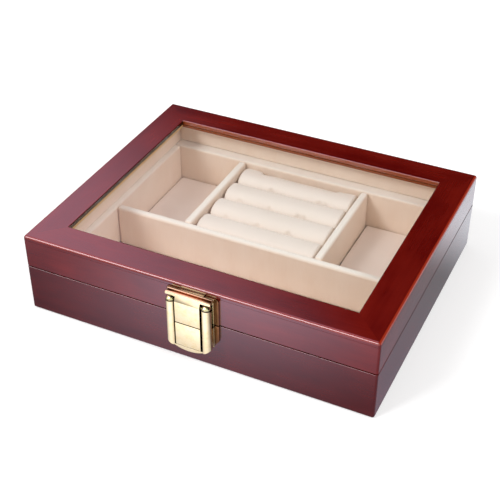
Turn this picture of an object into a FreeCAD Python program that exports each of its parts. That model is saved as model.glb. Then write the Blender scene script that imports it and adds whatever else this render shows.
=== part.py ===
import FreeCAD, Part
import math
import os
from types import SimpleNamespace

import Sketcher
from FreeCAD import Placement, Rotation, Vector

# A lacquered wooden jewelry box with a glass-topped lid, a velvet-lined tray and a flap clasp.
# The origin is the middle of the underside. X runs to the right along the front, Y runs to the
# rear and Z is up. All sizes are in millimetres.

SIZES = {
    # the case
    "box_width": 250.0,
    "box_depth": 203.0,
    "box_height": 61.0,
    "base_height": 36.1,
    "seam_gap": 0.8,
    "wall": 10.0,
    "corner_round": 1.6,
    "foot_round": 1.2,
    "seam_round": 0.4,
    "joint_round": 0.25,
    "felt_thickness": 0.8,
    "felt_inset": 1.5,
    "panel_thickness": 3.0,
    "panel_rebate": 5.0,
    "panel_clearance": 0.3,
    # the velvet-covered tray
    "side_lining": 8.0,
    "front_lining": 8.0,
    "rear_lining": 10.5,
    "lining_round": 1.5,
    "tray_drop": 0.2,
    "divider_thickness": 5.8,
    "divider_round": 1.8,
    "front_bay_depth": 67.5,
    "left_bay_width": 52.0,
    "right_bay_width": 55.7,
    "floor_pad_thickness": 4.2,
    "front_pad_thickness": 2.2,
    "pad_round": 1.5,
    "pad_clearance": 0.3,
    # the ring rolls
    "roll_count": 4,
    "roll_block_height": 12.0,
    "roll_clearance": 0.3,
    "roll_top_drop": 0.4,
    "roll_end_dome": 6.0,
    "roll_waist_draw": 0.7,
    "tuft_inset": 16.0,
    "tuft_draw": 1.3,
    # the lid
    "top_frame_width": 21.8,
    "top_frame_thickness": 3.5,
    "top_arris_round": 2.0,
    "window_round": 0.6,
    "glass_thickness": 2.0,
    "glass_clearance": 0.3,
    "bead_width": 10.5,
    "bead_height": 2.0,
    "lid_side_lining": 4.0,
    "lid_end_lining": 2.4,
    "lid_lining_round": 1.0,
    # the rear hinges
    "hinge_spacing": 150.0,
    "hinge_width": 24.0,
    "leaf_height": 13.0,
    "leaf_thickness": 0.8,
    "barrel_radius": 1.9,
    "barrel_stand_off": 0.1,
    "barrel_leaf_gap": 0.3,
    "knuckle_count": 5,
    "knuckle_gap": 0.15,
    "hinge_pin_radius": 0.9,
    "running_clearance": 0.05,
    # the screws of the hinges and the clasp, countersunk by the thickness of a hinge leaf
    "screw_shank_radius": 0.8,
    "screw_point_radius": 0.2,
    "screw_length": 7.5,
    "screw_tip": 1.6,
    "screw_slot_reach": 1.1,
    "screw_slot_width": 0.35,
    "screw_slot_depth": 0.4,
    "screw_clearance": 0.05,
    "hinge_screw_spacing": 14.0,
    "hinge_screw_drop": 8.0,
    # the clasp: heights are counted up or down from the middle of the seam
    "clasp_offset": 2.0,
    "flange_width": 36.4,
    "flange_thickness": 0.8,
    "flange_rise": 20.9,
    "flange_drop": 17.9,
    "flange_top_round": 2.0,
    "flange_chamfer_width": 4.0,
    "flange_chamfer_height": 5.4,
    "clasp_seam_gap": 1.0,
    "layer_width": 31.0,
    "layer_thickness": 2.0,
    "catch_drop": 16.5,
    "clasp_screw_inset": 3.1,
    "clasp_screw_rise": 9.5,
    "panel_width": 17.5,
    "panel_stand_off": 8.6,
    "panel_drop": 17.9,
    "panel_line": 0.7,
    "panel_slot": 0.55,
    "panel_shoulder": 3.3,
    "panel_round": 0.4,
    "bridge_rise": 21.8,
    "lip_gap": 0.4,
    "lip_thickness": 1.4,
    "lip_rise": 22.4,
    "ledge_slot": 0.4,
    "ledge_slot_depth": 1.2,
    "ledge_thickness": 2.4,
    "ledge_rise": 21.5,
    "rib_top_gap": 0.7,
    "rib_radius": 3.2,
    "flap_back_gap": 0.2,
    "flap_web": 3.0,
    "web_side_inset": 0.3,
    "rib_back_inset": 0.1,
    "flap_pin_rise": 15.8,
    "flap_pin_radius": 1.0,
    "flap_pin_inset": 1.1,
    "flap_drop": 21.4,
    "flap_corner_drop": 16.0,
    "flap_bar_stand_off": 8.4,
    "flap_bar_gap": 0.5,
    "flap_bar_inset": 0.9,
    "flap_trim": 1.0,
    "nose_width": 6.0,
    "nose_reach": 1.5,
    "nose_drop": 15.5,
    "nose_height": 3.5,
    "nose_room": 2.0,
}


class Size:
    """A length that knows its value and the sheet expression that keeps it up to date."""

    def __init__(self, value, text=None):
        self.value = float(value)
        self.text = text or repr(float(value))

    def __add__(self, other):
        other = as_size(other)
        return Size(self.value + other.value, f"({self.text} + {other.text})")

    def __sub__(self, other):
        other = as_size(other)
        return Size(self.value - other.value, f"({self.text} - {other.text})")

    def __mul__(self, other):
        other = as_size(other)
        return Size(self.value * other.value, f"{self.text} * {other.text}")

    def __truediv__(self, other):
        other = as_size(other)
        return Size(self.value / other.value, f"({self.text}) / ({other.text})")

    def __neg__(self):
        return Size(-self.value, f"(0 - {self.text})")

    __radd__ = __add__
    __rmul__ = __mul__


def as_size(length):
    return length if isinstance(length, Size) else Size(length)


doc = FreeCAD.newDocument("jewelry_box")
sheet = doc.addObject("Spreadsheet::Sheet", "Sizes")
for row, (alias, number) in enumerate(SIZES.items(), start=1):
    sheet.set(f"A{row}", alias)
    sheet.set(f"B{row}", str(number))
    sheet.setAlias(f"B{row}", alias)
doc.recompute()
S = SimpleNamespace(**{alias: Size(number, f"Sizes.{alias}") for alias, number in SIZES.items()})

# Every finished sub-part is added to this list, which is checked and written out at the end.
subparts = []

# Heights and faces that several sub-parts share.
half_width = S.box_width / 2
half_depth = S.box_depth / 2
panel_top = S.felt_thickness + S.panel_thickness
tray_top = S.base_height - S.tray_drop
lid_low = S.base_height + S.seam_gap
frame_low = S.box_height - S.top_frame_thickness
glass_low = frame_low - S.glass_thickness
bead_low = glass_low - S.bead_height
inner_x = half_width - S.wall
inner_y = half_depth - S.wall
tray_x = inner_x - S.side_lining
tray_front = S.front_lining - inner_y
tray_rear = inner_y - S.rear_lining

overrun = S.wall / 2

# Two faces or edges nearer than this count as one.
NEAR = 1e-4


def bind(item, name, length):
    """Tie a property of a document object to the sheet."""
    item.setExpression(name, as_size(length).text)


def new_body(label, x=0, y=0):
    body = doc.addObject("PartDesign::Body", label)
    body.Label = label
    bind(body, "Placement.Base.x", x)
    bind(body, "Placement.Base.y", y)
    return body


def new_sketch(body, name, role, offset=0, shift=0):
    """A sketch on one of the body's own planes, offset along the plane's normal."""
    sketch = body.newObject("Sketcher::SketchObject", f"{body.Name}_{name}_sketch")
    plane = next(item for item in body.Origin.OriginFeatures if item.Role == role)
    sketch.AttachmentSupport = [(plane, "")]
    sketch.MapMode = "FlatFace"
    bind(sketch, "AttachmentOffset.Base.z", offset)
    bind(sketch, "AttachmentOffset.Base.x", shift)
    return sketch


def place_point(sketch, index, end, x, y):
    """Hold one end (or the centre, end 3) of a sketch line at a place given by the sheet."""
    for axis, length in (("X", as_size(x)), ("Y", as_size(y))):
        rule = Sketcher.Constraint(f"Distance{axis}", -1, 1, index, end, length.value)
        name = f"at_{index}_{end}_{axis}"
        sketch.renameConstraint(sketch.addConstraint(rule), name)
        bind(sketch, f"Constraints.{name}", length)


def draw_polygon(sketch, corners):
    places = [Vector(as_size(x).value, as_size(y).value, 0) for x, y in corners]
    first = sketch.GeometryCount
    last = first + len(corners) - 1
    for start, end in zip(places, places[1:] + places[:1]):
        sketch.addGeometry(Part.LineSegment(start, end), False)
    for index in range(first, last + 1):
        follower = index + 1 if index < last else first
        sketch.addConstraint(Sketcher.Constraint("Coincident", index, 2, follower, 1))
    for index, (x, y) in enumerate(corners, start=first):
        place_point(sketch, index, 1, x, y)


def draw_rectangle(sketch, x_low, x_high, y_low, y_high):
    draw_polygon(sketch, [(x_low, y_low), (x_high, y_low), (x_high, y_high), (x_low, y_high)])


def draw_circle(sketch, x, y, radius):
    middle = Vector(as_size(x).value, as_size(y).value, 0)
    index = sketch.addGeometry(Part.Circle(middle, Vector(0, 0, 1), radius.value), False)
    place_point(sketch, index, 3, x, y)
    rule = sketch.addConstraint(Sketcher.Constraint("Radius", index, radius.value))
    sketch.renameConstraint(rule, f"radius_{index}")
    bind(sketch, f"Constraints.radius_{index}", radius)


def pad(body, sketch, length, both_ways=False):
    feature = body.newObject("PartDesign::Pad", sketch.Name.replace("sketch", "pad"))
    feature.Profile = sketch
    feature.SideType = "Symmetric" if both_ways else "One side"
    bind(feature, "Length", length)
    doc.recompute()
    return feature


def pocket(body, sketch, depth=None, reverse=False):
    """Cut a sketch into the body: to a depth, or through all of it both ways."""
    before = body.Shape.Volume
    feature = body.newObject("PartDesign::Pocket", sketch.Name.replace("sketch", "pocket"))
    feature.Profile = sketch
    if depth is None:
        feature.SideType = "Symmetric"
        feature.Type = "ThroughAll"
    else:
        feature.Reversed = reverse
        bind(feature, "Length", depth)
    doc.recompute()
    if body.Shape.Volume > before - NEAR:
        raise RuntimeError(f"{feature.Name} cuts nothing")
    return feature


def dress_edges(body, kind, property_name, length, wanted):
    """Fillet or chamfer the edges whose bounding box, in the body's own frame, passes a test."""
    base = body.Tip
    names = [f"Edge{i}" for i, edge in enumerate(base.Shape.Edges, start=1)
             if wanted(edge.BoundBox)]
    if not names:
        raise RuntimeError(f"{body.Label} has no such edge to dress")
    feature = body.newObject(f"PartDesign::{kind}", f"{body.Name}_{kind.lower()}")
    feature.Base = (base, names)
    bind(feature, property_name, length)
    doc.recompute()


def round_edges(body, radius, wanted):
    dress_edges(body, "Fillet", "Radius", radius, wanted)


def bevel_edges(body, size, wanted):
    dress_edges(body, "Chamfer", "Size", size, wanted)


def is_level(box, height):
    return abs(box.ZMin - height.value) < NEAR and abs(box.ZMax - height.value) < NEAR


def mitred_board(label, run, across, width, low, high, turn, rounds, edits=None):
    """One board of a mitred frame: modelled as the front board and turned into its place.

    The rounds name an edge, such as outer high, and its radius. Edits are cuts made before the
    mitres.
    """
    body = new_body(label)
    outer = -across / 2
    inner = outer + width
    blank = new_sketch(body, "blank", "XY_Plane", low)
    draw_rectangle(blank, -run / 2, run / 2, outer, inner)
    pad(body, blank, high - low)
    if edits:
        edits(body, run, outer, inner, low)
    sides = {"outer": outer, "inner": inner}
    heights = {"low": low, "high": high}
    for side, height, radius in rounds:
        face = sides[side].value
        if height == "upright":
            round_edges(body, radius, lambda box: box.XLength < NEAR and box.YLength < NEAR
                        and abs(box.YMin - face) < NEAR)
        else:
            round_edges(body, radius, lambda box: is_level(box, heights[height])
                        and box.YLength < NEAR and abs(box.YMin - face) < NEAR)
    mitre = new_sketch(body, "mitre", "XY_Plane", low)
    for side in (-1, 1):
        end = run / 2 * side
        past = end + overrun * side
        back = inner + overrun
        draw_polygon(mitre, [(past, outer - overrun), (past, back),
                             (end - (width + overrun) * side, back)])
    pocket(body, mitre)
    body.Placement = Placement(Vector(), Rotation(Vector(0, 0, 1), turn))
    subparts.append(body)
    return body


def block(label, x, y, z, rounds=()):
    """A rectangular piece between pairs of faces, with its top or bottom edges rounded.

    Each round is the height (high or low), the axis its edges run along and the radius.
    """
    body = new_body(label)
    outline = new_sketch(body, "outline", "XY_Plane", z[0])
    draw_rectangle(outline, x[0], x[1], y[0], y[1])
    pad(body, outline, as_size(z[1]) - z[0])
    for height, axis, radius in rounds:
        level = as_size(z[1] if height == "high" else z[0])
        flat = {"X": "YLength", "Y": "XLength"}
        round_edges(body, radius, lambda box: is_level(box, level)
                    and any(getattr(box, flat[name]) < NEAR for name in axis))
    subparts.append(body)
    return body


# The base: four mitred boards with a rebate for the thin bottom panel, on a sheet of felt.

FRAME_SIDES = {
    "front": (S.box_width, S.box_depth, 0),
    "right": (S.box_depth, S.box_width, 90),
    "rear": (S.box_width, S.box_depth, 180),
    "left": (S.box_depth, S.box_width, 270),
}


def cut_rebate(body, run, outer, inner, low):
    rebate = new_sketch(body, "rebate", "XY_Plane", low)
    draw_rectangle(rebate, -run / 2 - overrun, run / 2 + overrun, inner - S.panel_rebate,
                   inner + overrun)
    pocket(body, rebate, S.panel_thickness, reverse=True)


def drill(body, name, across, places):
    """Pilot holes for screws, bored into the outer face of a board."""
    holes = new_sketch(body, name, "XZ_Plane", across / 2)
    for x, z in places:
        draw_circle(holes, x, z, S.screw_shank_radius + S.screw_clearance)
    pocket(body, holes, S.screw_length)


axis_height = S.base_height + S.seam_gap / 2
hinge_screw_x = [S.hinge_spacing / 2 * side + S.hinge_screw_spacing / 2 * end
                 for side in (-1, 1) for end in (-1, 1)]
clasp_screw_reach = S.layer_width / 2 - S.clasp_screw_inset
clasp_screw_x = [S.clasp_offset + clasp_screw_reach * side for side in (-1, 1)]
base_screw_height = axis_height - S.hinge_screw_drop
lid_screw_height = axis_height + S.hinge_screw_drop
clasp_base_screw_height = axis_height - S.clasp_screw_rise
clasp_lid_screw_height = axis_height + S.clasp_screw_rise

for side, (run, across, turn) in FRAME_SIDES.items():
    board = mitred_board(
        f"base_{side}_board", run, across, S.wall, S.felt_thickness, S.base_height, turn,
        [("outer", "upright", S.corner_round), ("outer", "high", S.seam_round),
         ("outer", "low", S.foot_round)], cut_rebate)
    if side == "rear":
        drill(board, "pilots", across, [(x, base_screw_height) for x in hinge_screw_x])
    if side == "front":
        drill(board, "pilots", across, [(x, clasp_base_screw_height) for x in clasp_screw_x])

felt_x = half_width - S.felt_inset
felt_y = half_depth - S.felt_inset
block("base_felt_sheet", (-felt_x, felt_x), (-felt_y, felt_y), (0, S.felt_thickness))
panel_x = inner_x + S.panel_rebate - S.panel_clearance
panel_y = inner_y + S.panel_rebate - S.panel_clearance
block("base_bottom_panel", (-panel_x, panel_x), (-panel_y, panel_y), (S.felt_thickness, panel_top))

# The tray: velvet-covered lining boards, dividers and floor pads.

tray_z = (panel_top, tray_top)
soft_x = [("high", "X", S.lining_round)]
soft_y = [("high", "Y", S.lining_round)]
block("base_lining_front", (-inner_x, inner_x), (-inner_y, tray_front), tray_z, soft_x)
block("base_lining_rear", (-inner_x, inner_x), (tray_rear, inner_y), tray_z, soft_x)
block("base_lining_left", (-inner_x, -tray_x), (tray_front, tray_rear), tray_z, soft_y)
block("base_lining_right", (tray_x, inner_x), (tray_front, tray_rear), tray_z, soft_y)

bay_front = tray_front + S.front_bay_depth
bay_rear = bay_front + S.divider_thickness
left_bay = -tray_x + S.left_bay_width
right_bay = tray_x - S.right_bay_width
roll_bay_left = left_bay + S.divider_thickness
roll_bay_right = right_bay - S.divider_thickness
divider_x = [("high", "X", S.divider_round)]
divider_y = [("high", "Y", S.divider_round)]
block("long_divider", (-tray_x, tray_x), (bay_front, bay_rear), tray_z, divider_x)
block("cross_divider_left", (left_bay, roll_bay_left), (bay_rear, tray_rear), tray_z, divider_y)
block("cross_divider_right", (roll_bay_right, right_bay), (bay_rear, tray_rear), tray_z, divider_y)

PADS = {
    "front": ((-tray_x, tray_x), (tray_front, bay_front), S.front_pad_thickness),
    "left": ((-tray_x, left_bay), (bay_rear, tray_rear), S.floor_pad_thickness),
    "right": ((right_bay, tray_x), (bay_rear, tray_rear), S.floor_pad_thickness),
}
for name, (x, y, thickness) in PADS.items():
    inset_x = (x[0] + S.pad_clearance, x[1] - S.pad_clearance)
    inset_y = (y[0] + S.pad_clearance, y[1] - S.pad_clearance)
    block(f"floor_pad_{name}", inset_x, inset_y, (panel_top, panel_top + thickness),
          [("high", "XY", S.pad_round)])

# The ring rolls: stuffed tubes on a covered block. Each has domed ends, is drawn in a little
# between its swollen ends, and is pinched by a row of sewn tufts.

roll_low = panel_top + S.roll_block_height
block("ring_roll_tray", (roll_bay_left + S.pad_clearance, roll_bay_right - S.pad_clearance),
      (bay_rear + S.pad_clearance, tray_rear - S.pad_clearance), (panel_top, roll_low))


def roll_section(x, half_wide, half_high):
    """A closed round section across the roll, of four arcs through eight points of an oval."""
    rim = [Vector(x, half_wide * math.cos(math.radians(angle)),
                  half_high * math.sin(math.radians(angle))) for angle in range(0, 360, 45)]
    arcs = [Part.Arc(rim[i], rim[i + 1], rim[(i + 2) % 8]).toShape() for i in range(0, 8, 2)]
    return Part.Wire(arcs)


def roll_draw(place, tuft, shoulder):
    """How far the roll is drawn in: most at the three tufts, less between them, not at all at
    the shoulders where the end domes begin."""
    deep = S.tuft_draw.value
    waist = S.roll_waist_draw.value
    if place < tuft:
        return waist + (deep - waist) * (1 + math.cos(math.tau * place / tuft)) / 2
    return deep * (1 + math.cos(math.pi * (place - tuft) / (shoulder - tuft))) / 2


def ring_roll(length, half_wide, half_high):
    """One roll along X, its middle at the origin, lofted through rings from end to end."""
    end = length / 2
    tuft = end - S.tuft_inset.value
    shoulder = end - S.roll_end_dome.value
    places = [tuft * step / 8 for step in range(8)]
    places += [tuft + (shoulder - tuft) * step / 4 for step in range(4)]
    rings = [(place, 1, roll_draw(place, tuft, shoulder)) for place in places]
    for angle in (90, 60, 30):
        lean = math.radians(angle)
        rings.append((shoulder + S.roll_end_dome.value * math.cos(lean), math.sin(lean), 0))
    rings = [(-place, swell, draw) for place, swell, draw in reversed(rings[1:])] + rings
    sections = [roll_section(place, half_wide * swell - draw, half_high * swell - draw / 2)
                for place, swell, draw in rings]
    return Part.makeLoft(sections, True, False)


roll_count = SIZES["roll_count"]
roll_pitch = (tray_rear - bay_rear) / S.roll_count
roll_length = (roll_bay_right - roll_bay_left).value - 2 * S.roll_clearance.value
roll_half_wide = (roll_pitch.value - S.roll_clearance.value) / 2
roll_top = tray_top - S.roll_top_drop
roll_half_high = (roll_top.value - roll_low.value - S.roll_clearance.value) / 2
roll_middle_x = ((roll_bay_left + roll_bay_right) / 2).value
for index in range(roll_count):
    roll = doc.addObject("Part::Feature", f"ring_roll_{index + 1}")
    roll.Label = f"ring_roll_{index + 1}"
    roll.Shape = ring_roll(roll_length, roll_half_wide, roll_half_high)
    roll.Placement = Placement(
        Vector(roll_middle_x, (bay_rear + roll_pitch * (index + 0.5)).value,
               roll_top.value - roll_half_high), Rotation())
    subparts.append(roll)

# The lid: four mitred rails, a mitred frame of flat boards on top, the glass under the frame,
# bare wooden beads that hold the glass, and a velvet-covered lining below the beads.

for side, (run, across, turn) in FRAME_SIDES.items():
    rail = mitred_board(f"lid_{side}_rail", run, across, S.wall, lid_low, frame_low, turn,
                        [("outer", "upright", S.corner_round), ("outer", "low", S.seam_round)])
    if side == "rear":
        drill(rail, "pilots", across, [(x, lid_screw_height) for x in hinge_screw_x])
    if side == "front":
        drill(rail, "pilots", across, [(x, clasp_lid_screw_height) for x in clasp_screw_x])
    mitred_board(f"top_frame_{side}", run, across, S.top_frame_width, frame_low, S.box_height, turn,
                 [("outer", "upright", S.corner_round), ("outer", "high", S.top_arris_round),
                  ("outer", "low", S.joint_round), ("inner", "high", S.window_round)])
    mitred_board(f"glass_bead_{side}", run - 2 * S.wall, across - 2 * S.wall, S.bead_width,
                 bead_low, glass_low, turn, [("inner", "low", S.window_round)])

glass_x = inner_x - S.glass_clearance
glass_y = inner_y - S.glass_clearance
block("glass_pane", (-glass_x, glass_x), (-glass_y, glass_y), (glass_low, frame_low))

lid_lining_x = inner_x - S.lid_side_lining
lid_lining_y = inner_y - S.lid_end_lining
lid_lining_z = (lid_low, bead_low)
soft_low_x = [("low", "X", S.lid_lining_round)]
soft_low_y = [("low", "Y", S.lid_lining_round)]
block("lid_lining_front", (-inner_x, inner_x), (-inner_y, -lid_lining_y), lid_lining_z, soft_low_x)
block("lid_lining_rear", (-inner_x, inner_x), (lid_lining_y, inner_y), lid_lining_z, soft_low_x)
block("lid_lining_left", (-inner_x, -lid_lining_x), (-lid_lining_y, lid_lining_y), lid_lining_z,
      soft_low_y)
block("lid_lining_right", (lid_lining_x, inner_x), (-lid_lining_y, lid_lining_y), lid_lining_z,
      soft_low_y)

# Hardware made of plain round and flat stock: boxes, cylinders and cones joined and cut.


def stock_box(name, x, y, z):
    item = doc.addObject("Part::Box", name)
    for side, place, (low, high) in (("Length", "x", x), ("Width", "y", y), ("Height", "z", z)):
        bind(item, side, as_size(high) - low)
        bind(item, f"Placement.Base.{place}", low)
    return item


def stock_rod(name, radius, x, y, z):
    """A round rod along X."""
    item = doc.addObject("Part::Cylinder", name)
    item.Placement = Placement(Vector(), Rotation(Vector(0, 1, 0), 90))
    bind(item, "Radius", radius)
    bind(item, "Height", as_size(x[1]) - x[0])
    for place, length in (("x", x[0]), ("y", y), ("z", z)):
        bind(item, f"Placement.Base.{place}", length)
    return item


def point_along_y(item, x, y, z, inward):
    """Lay a turned piece along Y, its foot at a place, pointing to the rear or to the front."""
    turn = -90 if inward > 0 else 90
    item.Placement = Placement(Vector(), Rotation(Vector(1, 0, 0), turn))
    for place, length in (("x", x), ("y", y), ("z", z)):
        bind(item, f"Placement.Base.{place}", length)
    return item


def turned(name, x, y, z, inward, length, radius, far_radius=None):
    """A cylinder or, with a far radius, a cone that lies along Y."""
    kind = "Part::Cylinder" if far_radius is None else "Part::Cone"
    item = doc.addObject(kind, name)
    bind(item, "Height", length)
    if far_radius is None:
        bind(item, "Radius", radius)
    else:
        bind(item, "Radius1", radius)
        bind(item, "Radius2", far_radius)
    return point_along_y(item, x, y, z, inward)


def join(name, pieces):
    item = doc.addObject("Part::MultiFuse", name)
    item.Shapes = pieces
    item.Refine = True
    return item


def cut(name, base, tools):
    item = doc.addObject("Part::Cut", name)
    item.Base = base
    item.Tool = tools[0] if len(tools) == 1 else join(f"{name}_tools", tools)
    item.Refine = True
    return item


def finish(item, label):
    item.Label = label
    doc.recompute()
    subparts.append(item)


screw_sink = S.leaf_thickness
screw_head_radius = S.screw_shank_radius + screw_sink


def screw(name, x, y, z, inward):
    """A countersunk screw whose head is flush with the face at y and which points inward."""
    shank_end = S.screw_length - S.screw_tip
    head = turned(f"{name}_head", x, y, z, inward, screw_sink, screw_head_radius,
                  S.screw_shank_radius)
    shank = turned(f"{name}_shank", x, y + screw_sink * inward, z, inward, shank_end - screw_sink,
                   S.screw_shank_radius)
    tip = turned(f"{name}_tip", x, y + shank_end * inward, z, inward, S.screw_tip,
                 S.screw_shank_radius, S.screw_point_radius)
    reach = S.screw_slot_reach
    half_slot = S.screw_slot_width / 2
    front = y - screw_sink * inward
    floor = y + S.screw_slot_depth * inward
    depth = (front, floor) if inward > 0 else (floor, front)
    slots = [stock_box(f"{name}_slot_x", (x - reach, x + reach), depth,
                       (z - half_slot, z + half_slot)),
             stock_box(f"{name}_slot_z", (x - half_slot, x + half_slot), depth,
                       (z - reach, z + reach))]
    return cut(name, join(f"{name}_blank", [head, shank, tip]), slots)


def screw_hole(name, x, y, z, inward):
    """A countersunk hole that takes the screw, bored from the face at y."""
    loose = S.screw_clearance
    sink = turned(f"{name}_sink", x, y, z, inward, screw_sink, screw_head_radius + loose,
                  S.screw_shank_radius + loose)
    bore = turned(f"{name}_bore", x, y, z, inward, S.screw_length, S.screw_shank_radius + loose)
    return [sink, bore]


def screw_set(label, places):
    """Identical screws that share one node."""
    group = doc.addObject("Part::Compound", label)
    group.Links = [screw(f"{label}_{number}", x, y, z, inward)
                   for number, (x, y, z, inward) in enumerate(places, start=1)]
    finish(group, label)


# The two rear hinges: each has a leaf on the base, a leaf on the lid and a pin.

axis_y = half_depth + S.barrel_radius + S.barrel_stand_off
leaf_face = half_depth + S.leaf_thickness
knuckle_length = (S.hinge_width - S.knuckle_gap * (S.knuckle_count - 1)) / S.knuckle_count
leaf_root = S.barrel_radius + S.barrel_leaf_gap


def hinge_leaf(label, middle, up, bore_radius, screw_height):
    """A leaf with every other knuckle: up is 1 for the lid's leaf and -1 for the base's."""
    low = axis_height + (leaf_root if up > 0 else -S.leaf_height)
    high = axis_height + (S.leaf_height if up > 0 else -leaf_root)
    left = middle - S.hinge_width / 2
    pieces = [stock_box(f"{label}_plate", (left, middle + S.hinge_width / 2),
                        (half_depth, leaf_face), (low, high))]
    first = 0 if up < 0 else 1
    for number in range(first, SIZES["knuckle_count"], 2):
        start = left + (knuckle_length + S.knuckle_gap) * number
        span = (start, start + knuckle_length)
        rise = (axis_height, low) if up > 0 else (high, axis_height)
        pieces.append(stock_box(f"{label}_web_{number}", span, (half_depth, leaf_face), rise))
        pieces.append(stock_box(f"{label}_neck_{number}", span, (half_depth, axis_y),
                                (axis_height - S.leaf_thickness / 2,
                                 axis_height + S.leaf_thickness / 2)))
        pieces.append(stock_rod(f"{label}_knuckle_{number}", S.barrel_radius, span, axis_y,
                                axis_height))
    tools = [stock_rod(f"{label}_bore", bore_radius,
                       (left - overrun, middle + S.hinge_width / 2 + overrun), axis_y,
                       axis_height)]
    for end in (-1, 1):
        tools += screw_hole(f"{label}_hole_{end + 1}", middle + S.hinge_screw_spacing / 2 * end,
                            leaf_face, screw_height, -1)
    finish(cut(f"{label}_leaf", join(f"{label}_blank", pieces), tools), label)


for name, side in (("left", -1), ("right", 1)):
    middle = S.hinge_spacing / 2 * side
    hinge_leaf(f"hinge_base_leaf_{name}", middle, -1, S.hinge_pin_radius, base_screw_height)
    hinge_leaf(f"hinge_lid_leaf_{name}", middle, 1, S.hinge_pin_radius + S.running_clearance,
               lid_screw_height)
    pin = stock_rod(f"hinge_pin_{name}", S.hinge_pin_radius,
                    (middle - S.hinge_width / 2, middle + S.hinge_width / 2), axis_y, axis_height)
    finish(pin, f"hinge_pin_{name}")

screw_set("hinge_base_screws", [(x, leaf_face, base_screw_height, -1) for x in hinge_screw_x])
screw_set("hinge_lid_screws", [(x, leaf_face, lid_screw_height, -1) for x in hinge_screw_x])

# The clasp: flat plates on the base and the lid, a block on each, and the flap on its pin. Each
# piece is modelled about the clasp's own middle, with the front of the wood at Y = 0.

clasp_front = -half_depth
layer_front = S.flange_thickness + S.layer_thickness
flap_back = layer_front + S.flap_back_gap
pin_stand_off = flap_back + S.rib_back_inset + S.rib_radius
lip_back = layer_front + S.lip_gap
lip_front = lip_back + S.lip_thickness
ledge_back = lip_front + S.ledge_slot
ledge_front = ledge_back + S.ledge_thickness
flap_pin_z = axis_height + S.flap_pin_rise
ledge_low = flap_pin_z + S.rib_radius + S.rib_top_gap
ledge_top = axis_height + S.ledge_rise
flange_top = axis_height + S.flange_rise
flange_bottom = axis_height - S.flange_drop
clasp_base_top = axis_height - S.clasp_seam_gap / 2
clasp_lid_low = axis_height + S.clasp_seam_gap / 2
rib_middle = S.panel_width / 2 + S.panel_slot + S.rib_radius
flap_half_width = rib_middle + S.rib_radius


def clasp_body(label):
    return new_body(label, S.clasp_offset, clasp_front)


def pad_front(body, name, corners, back, front):
    """Pad a front view (X, Z) from one stand-off to another, counted out from the wood."""
    view = new_sketch(body, name, "XZ_Plane", back)
    draw_polygon(view, corners)
    return pad(body, view, front - back)


def pad_side(body, name, corners, width):
    """Pad a side view (stand-off, Z) to both sides of the clasp's middle."""
    view = new_sketch(body, name, "YZ_Plane")
    draw_polygon(view, [(-as_size(stand_off), z) for stand_off, z in corners])
    return pad(body, view, width, both_ways=True)


def corners_of(half, low, high):
    return [(-half, low), (half, low), (half, high), (-half, high)]


def lies_at(box, low, high):
    """True for an edge that lies at one height between two stand-offs from the wood."""
    return box.ZLength < NEAR and -high - NEAR < box.YMin and box.YMax < NEAR - low


def bore_screws(body, front, height, countersunk=False):
    """Holes for the two screws of a plate or block of the clasp."""
    radius = S.screw_shank_radius + S.screw_clearance
    holes = new_sketch(body, "holes", "XZ_Plane", front)
    for side in (-1, 1):
        draw_circle(holes, clasp_screw_reach * side, height, radius)
    pocket(body, holes)
    if countersunk:
        bevel_edges(body, screw_sink,
                    lambda box: abs(box.YMin + front.value) < NEAR and box.YLength < NEAR
                    and abs(box.ZLength - 2 * radius.value) < 0.01
                    and abs(box.XLength - 2 * radius.value) < 0.01)


half_flange = S.flange_width / 2
half_layer = S.layer_width / 2
half_panel = S.panel_width / 2
chamfer_x = half_flange - S.flange_chamfer_width
chamfer_z = flange_bottom + S.flange_chamfer_height

base_plate = clasp_body("clasp_base_plate")
pad_front(base_plate, "plate",
          [(-chamfer_x, flange_bottom), (chamfer_x, flange_bottom), (half_flange, chamfer_z),
           (half_flange, clasp_base_top), (-half_flange, clasp_base_top),
           (-half_flange, chamfer_z)], Size(0), S.flange_thickness)
bore_screws(base_plate, S.flange_thickness, clasp_base_screw_height)
subparts.append(base_plate)

lid_plate = clasp_body("clasp_lid_plate")
pad_front(lid_plate, "plate", corners_of(half_flange, clasp_lid_low, flange_top), Size(0),
          S.flange_thickness)
round_edges(lid_plate, S.flange_top_round,
            lambda box: box.XLength < NEAR and box.ZLength < NEAR
            and abs(box.ZMin - flange_top.value) < NEAR)
bore_screws(lid_plate, S.flange_thickness, clasp_lid_screw_height)
subparts.append(lid_plate)

# The catch is a raised block on the base's plate, with a nose for the flap to close over.

catch = clasp_body("clasp_catch")
pad_front(catch, "block", corners_of(half_layer, axis_height - S.catch_drop, clasp_base_top),
          S.flange_thickness, layer_front)
nose_tip = layer_front + S.nose_reach
nose_low = axis_height - S.nose_drop
nose_high = nose_low + S.nose_height
pad_side(catch, "nose", [(S.flange_thickness, nose_low), (nose_tip, nose_low),
                         (nose_tip, nose_low + S.nose_height / 2),
                         (layer_front, nose_high), (S.flange_thickness, nose_high)],
         S.nose_width)
bore_screws(catch, layer_front, clasp_base_screw_height, countersunk=True)
subparts.append(catch)

# The keeper is the lid's block: the upper half of the centre panel, the bridge back to the wood,
# and the lip and ledge above the flap's ribs.

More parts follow.
